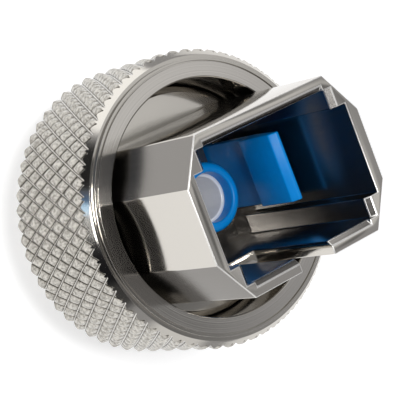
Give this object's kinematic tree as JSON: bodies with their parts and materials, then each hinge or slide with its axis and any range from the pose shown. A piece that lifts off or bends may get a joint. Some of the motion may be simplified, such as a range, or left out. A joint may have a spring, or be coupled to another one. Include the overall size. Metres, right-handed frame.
{
  "type": "fiber optic adapter",
  "caption": "Fiber optic adapter: a rectangular push-pull port with an alignment sleeve and latch hooks, held to a round instrument socket by a knurled coupling nut.",
  "frame": {"origin": "centre of the rear spigot's end, the lowest point of the object as it stands on that end", "axes": "+Z along the sleeve's axis, out of the port's mouth; +X along the long side of the port; the keyway is in the wall on the -Y side"},
  "size_m": [0.017, 0.017, 0.02],
  "materials": {
    "satin_nickel": "satin nickel plate on brass, knurled outside, turned front face",
    "bright_nickel": "bright nickel plate on brass",
    "turned_nickel": "turned, nickel plated",
    "spring_steel": "bright spring steel",
    "blue_plastic": "moulded, slightly glossy",
    "zirconia": "ground ceramic"
  },
  "bodies": {
    "adapter_body": {"receptacle": "bright_nickel", "latch_insert": "blue_plastic", "alignment_sleeve": "zirconia", "rear_nose": "turned_nickel", "key_pin": "spring_steel"},
    "nut": {"coupling_nut": "satin_nickel", "nut_snap_ring": "spring_steel"}
  },
  "joints": [
    {"name": "nut_turn", "type": "hinge", "parent": "adapter_body", "child": "nut", "pos_m": [0, 0, 0.0092], "axis": [0, 0, 1], "continuous": true}
  ]
}
